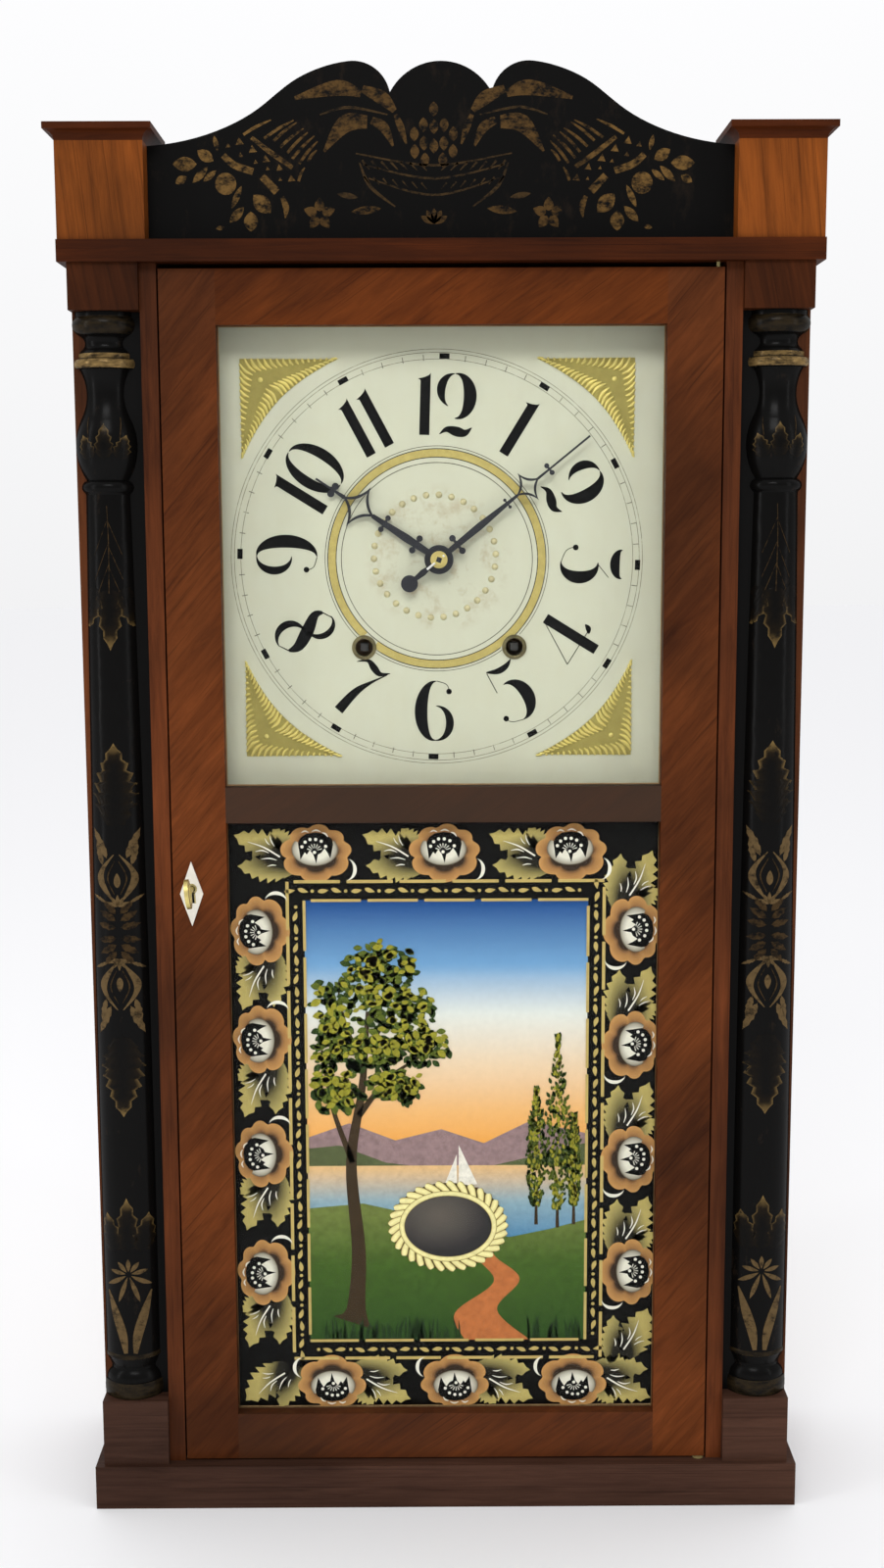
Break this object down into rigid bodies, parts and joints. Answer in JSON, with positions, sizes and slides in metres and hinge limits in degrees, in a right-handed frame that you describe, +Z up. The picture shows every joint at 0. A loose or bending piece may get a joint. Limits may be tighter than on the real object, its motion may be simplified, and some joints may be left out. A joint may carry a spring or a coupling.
{
  "type": "column and splat shelf clock",
  "caption": "Tall wooden shelf clock with half columns, a stencilled splat, a hinged door over dial and painted tablet, and a weight-driven wooden movement.",
  "frame": {"origin": "middle of the underside of the base, half way between its front and back", "axes": "+Z up, +X to the right seen from the front, the dial faces -Y"},
  "size_m": [0.4412, 0.14, 0.8581],
  "materials": {
    "case_wood": "dark mahogany veneer, old varnish",
    "door_wood": "red-brown mahogany veneer, varnished",
    "chimney_wood": "orange-brown mahogany veneer, varnished",
    "pine": "bare aged pine",
    "ebonised": "black paint with worn gilt stencils",
    "dial_paint": "cream paint on wood with black and gilt",
    "window_glass": "old clear glass",
    "painted_glass": "glass painted on its back",
    "movement_wood": "bare oak and cherry",
    "brass": "aged brass",
    "steel": "dull steel wire",
    "hand_iron": "black japanned sheet iron",
    "iron": "rough cast iron",
    "bone": null,
    "cord": "twisted linen cord"
  },
  "bodies": {
    "case": {"plinth": "case_wood", "bottom_board": "pine", "case_sides": "case_wood", "back_board": "pine", "cornice": "case_wood", "face_boards": "case_wood", "door_jambs": "case_wood", "base_blocks": "case_wood", "capital_blocks": "case_wood", "columns": "ebonised", "chimneys": "chimney_wood", "chimney_caps": "case_wood", "splat": "ebonised", "splat_glue_blocks": "pine", "hinge_pins": "steel", "dial_board": "dial_paint", "dial_rails": "pine", "winding_grommets": "brass", "front_plate": "movement_wood", "back_plate": "movement_wood", "plate_pillars": "movement_wood", "movement_rails": "pine", "suspension_stud": "steel", "bell": "brass", "time_cord_drop": "cord", "strike_cord_drop": "cord", "pulley_ears": "pine", "cord_runs": "cord"},
    "door": {"door_stiles": "door_wood", "door_rails": "door_wood", "dial_glass": "window_glass", "tablet_glass": "painted_glass", "glass_strips": "pine", "escutcheon": "bone", "lock_case": "iron"},
    "key": {"key": "brass"},
    "bolt": {"lock_bolt": "iron"},
    "minute": {"center_wheel": "movement_wood", "minute_hand": "hand_iron", "hand_collet": "brass"},
    "hour": {"hour_wheel": "movement_wood", "hour_hand": "hand_iron"},
    "motion": {"motion_wheel": "movement_wood"},
    "time_great": {"time_great_wheel": "movement_wood"},
    "third": {"third_wheel": "movement_wood"},
    "escape": {"escape_wheel": "brass"},
    "verge": {"verge": "steel"},
    "pendulum": {"pendulum_rod": "steel", "pendulum_bob": "brass"},
    "strike_great": {"strike_great_wheel": "movement_wood"},
    "pin_wheel": {"pin_wheel": "movement_wood"},
    "fly": {"fly": "movement_wood"},
    "hammer": {"hammer": "steel"},
    "time_weight": {"time_weight": "iron"},
    "time_drum": {"time_drum": "movement_wood"},
    "time_pulley": {"time_pulley": "movement_wood"},
    "strike_weight": {"strike_weight": "iron"},
    "strike_drum": {"strike_drum": "movement_wood"},
    "strike_pulley": {"strike_pulley": "movement_wood"}
  },
  "joints": [
    {"name": "door_swing", "type": "hinge", "parent": "case", "child": "door", "pos_m": [0.1564, -0.0523, 0.03], "axis": [0, 0, 1], "range_deg": [0, 120]},
    {"name": "key_turn", "type": "hinge", "parent": "door", "child": "key", "pos_m": [-0.149, 0, 0.3881], "axis": [0, 1, 0], "range_deg": [0, 90]},
    {"name": "bolt_slide", "type": "slide", "parent": "door", "child": "bolt", "axis": [-1, 0, 0], "range_m": [0, 0.005]},
    {"name": "minute_turn", "type": "hinge", "parent": "case", "child": "minute", "pos_m": [-0.002, 0, 0.5803], "axis": [0, 1, 0], "continuous": true},
    {"name": "hour_turn", "type": "hinge", "parent": "case", "child": "hour", "pos_m": [-0.002, 0, 0.5803], "axis": [0, 1, 0], "continuous": true},
    {"name": "motion_turn", "type": "hinge", "parent": "case", "child": "motion", "pos_m": [0.01679, 0, 0.57346], "axis": [0, 1, 0], "continuous": true},
    {"name": "time_great_turn", "type": "hinge", "parent": "case", "child": "time_great", "pos_m": [0.0426, 0, 0.5285], "axis": [0, 1, 0], "continuous": true},
    {"name": "third_turn", "type": "hinge", "parent": "case", "child": "third", "pos_m": [-0.00404, 0, 0.62345], "axis": [0, 1, 0], "continuous": true},
    {"name": "escape_turn", "type": "hinge", "parent": "case", "child": "escape", "pos_m": [-0.02905, 0, 0.65467], "axis": [0, 1, 0], "continuous": true},
    {"name": "pendulum_swing", "type": "hinge", "parent": "case", "child": "pendulum", "pos_m": [-0.02905, 0, 0.69067], "axis": [0, 1, 0], "range_deg": [-2.5, 2.5]},
    {"name": "verge_rock", "type": "hinge", "parent": "case", "child": "verge", "pos_m": [-0.02905, 0, 0.69067], "axis": [0, 1, 0], "range_deg": [-2.5, 2.5]},
    {"name": "strike_great_turn", "type": "hinge", "parent": "case", "child": "strike_great", "pos_m": [-0.0466, 0, 0.5285], "axis": [0, 1, 0], "continuous": true},
    {"name": "pin_wheel_turn", "type": "hinge", "parent": "case", "child": "pin_wheel", "pos_m": [-0.07689, 0, 0.58978], "axis": [0, 1, 0], "continuous": true},
    {"name": "fly_turn", "type": "hinge", "parent": "case", "child": "fly", "pos_m": [-0.09874, 0, 0.61582], "axis": [0, 1, 0], "continuous": true},
    {"name": "hammer_lift", "type": "hinge", "parent": "case", "child": "hammer", "pos_m": [-0.099, 0, 0.6423], "axis": [0, -1, 0], "range_deg": [0, 15]},
    {"name": "time_weight_fall", "type": "slide", "parent": "case", "child": "time_weight", "axis": [0, 0, 1], "range_m": [0, 0.36], "deforming": ["time_cord_drop"]},
    {"name": "time_drum_turn", "type": "hinge", "parent": "case", "child": "time_drum", "pos_m": [0.0426, 0, 0.5285], "axis": [0, -1, 0], "range_deg": [0, 1400]},
    {"name": "time_pulley_turn", "type": "hinge", "parent": "case", "child": "time_pulley", "pos_m": [0.1441, 0, 0.738], "axis": [0, -1, 0], "range_deg": [0, 1750]},
    {"name": "strike_weight_fall", "type": "slide", "parent": "case", "child": "strike_weight", "axis": [0, 0, 1], "range_m": [0, 0.36], "deforming": ["strike_cord_drop"]},
    {"name": "strike_drum_turn", "type": "hinge", "parent": "case", "child": "strike_drum", "pos_m": [-0.0466, 0, 0.5285], "axis": [0, 1, 0], "range_deg": [0, 1400]},
    {"name": "strike_pulley_turn", "type": "hinge", "parent": "case", "child": "strike_pulley", "pos_m": [-0.1441, 0, 0.738], "axis": [0, 1, 0], "range_deg": [0, 1750]}
  ],
  "couplings": [
    {"joint": "key_turn", "follows": "bolt_slide", "rad_per_m": 314.16},
    {"joint": "hour_turn", "follows": "minute_turn", "ratio": 0.083333},
    {"joint": "motion_turn", "follows": "minute_turn", "ratio": -0.33333},
    {"joint": "time_great_turn", "follows": "minute_turn", "ratio": -0.10256},
    {"joint": "third_turn", "follows": "minute_turn", "ratio": -8},
    {"joint": "escape_turn", "follows": "minute_turn", "ratio": 72},
    {"joint": "verge_rock", "follows": "pendulum_swing", "ratio": 1},
    {"joint": "pin_wheel_turn", "follows": "strike_great_turn", "ratio": -9.75},
    {"joint": "fly_turn", "follows": "strike_great_turn", "ratio": 73.125},
    {"joint": "time_drum_turn", "follows": "time_weight_fall", "rad_per_m": 67.114},
    {"joint": "time_pulley_turn", "follows": "time_weight_fall", "rad_per_m": 84.034},
    {"joint": "strike_drum_turn", "follows": "strike_weight_fall", "rad_per_m": 67.114},
    {"joint": "strike_pulley_turn", "follows": "strike_weight_fall", "rad_per_m": 84.034}
  ]
}
